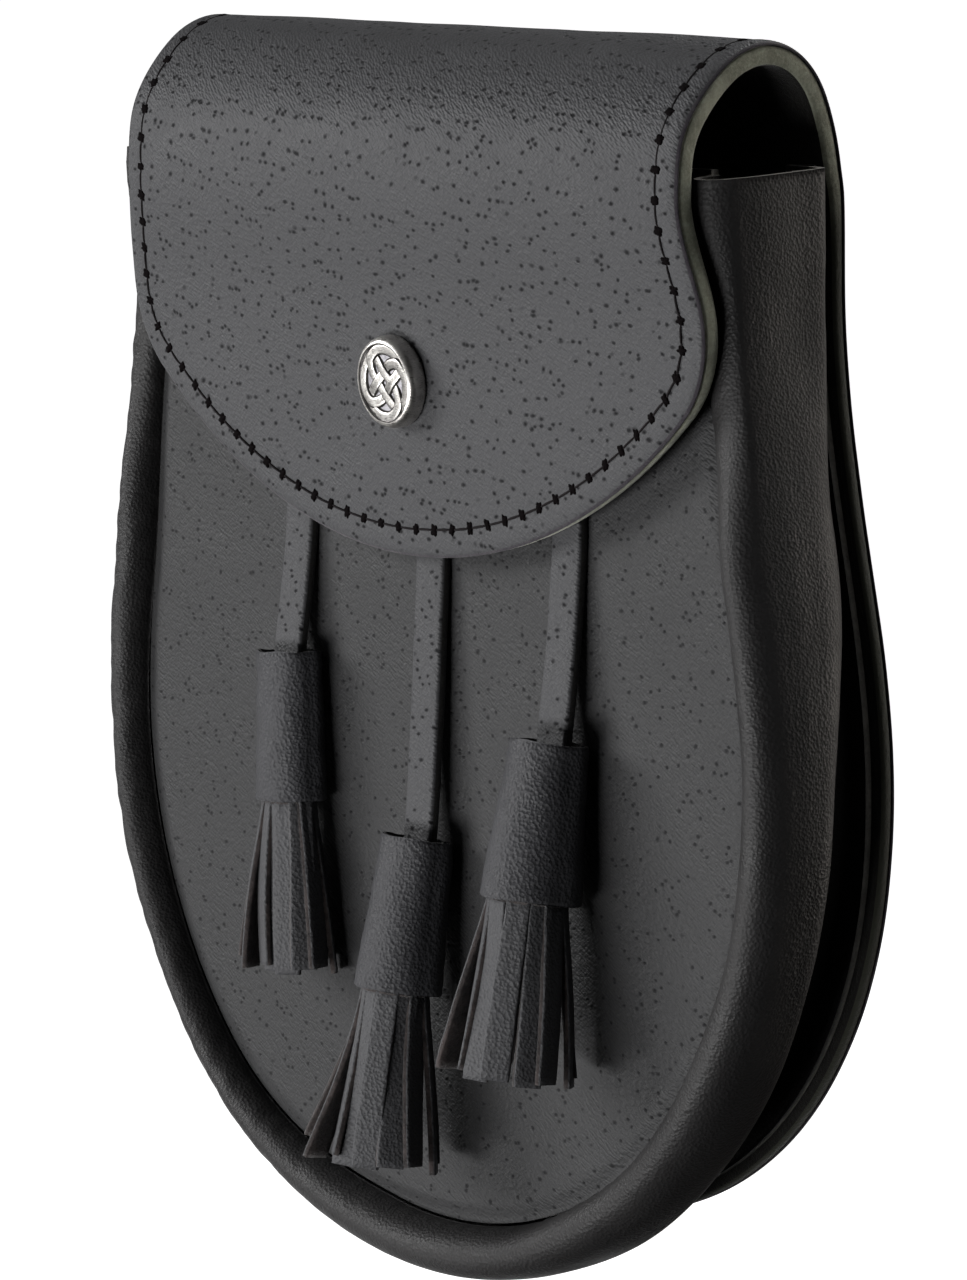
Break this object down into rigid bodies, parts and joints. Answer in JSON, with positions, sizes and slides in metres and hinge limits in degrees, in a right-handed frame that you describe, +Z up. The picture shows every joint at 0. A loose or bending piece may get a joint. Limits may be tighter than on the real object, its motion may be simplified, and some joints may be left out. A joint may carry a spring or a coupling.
{
  "type": "sporran pouch",
  "caption": "Leather belt pouch with a fold-over flap, a rolled rim, a knotwork press stud and hanging tassels on straps.",
  "frame": {"origin": "on the flat rear face of the back, midway between the two belt loops that hold the pouch up", "axes": "+X across the pouch to the wearer's left as seen in front, +Y out of the back towards the wearer, +Z up"},
  "size_m": [0.1752, 0.0562, 0.2046],
  "materials": {
    "pigskin_face": "dyed black leather with a pigskin pore pattern, satin",
    "split_leather": "raw split leather dyed black over olive, matte and fibrous",
    "pigskin_panel": "dyed black leather with a pigskin pore pattern, satin",
    "smooth_leather": "smooth black leather with fine grain and a soft sheen",
    "stud_metal": "antiqued silver, dark in the recesses",
    "snap_metal": "plain nickel",
    "strap_leather": "dyed black leather with a pigskin pore pattern, satin",
    "collar_leather": "black leather with a fine pebble grain, satin",
    "fringe_leather": "black grain leather with a brown-black suede back, matte",
    "loop_leather": "plain black leather, satin"
  },
  "bodies": {
    "root": {"face_leather": "pigskin_face", "lining_leather": "split_leather", "front_panel": "pigskin_panel", "gusset": "smooth_leather", "stud": "stud_metal", "snap_post": "snap_metal", "strap_left": "strap_leather", "collar_left": "collar_leather", "fringe_left": "fringe_leather", "strap_middle": "strap_leather", "collar_middle": "collar_leather", "fringe_middle": "fringe_leather", "strap_right": "strap_leather", "collar_right": "collar_leather", "fringe_right": "fringe_leather", "hanger_loop_left": "loop_leather", "hanger_loop_right": "loop_leather"}
  },
  "joints": []
}
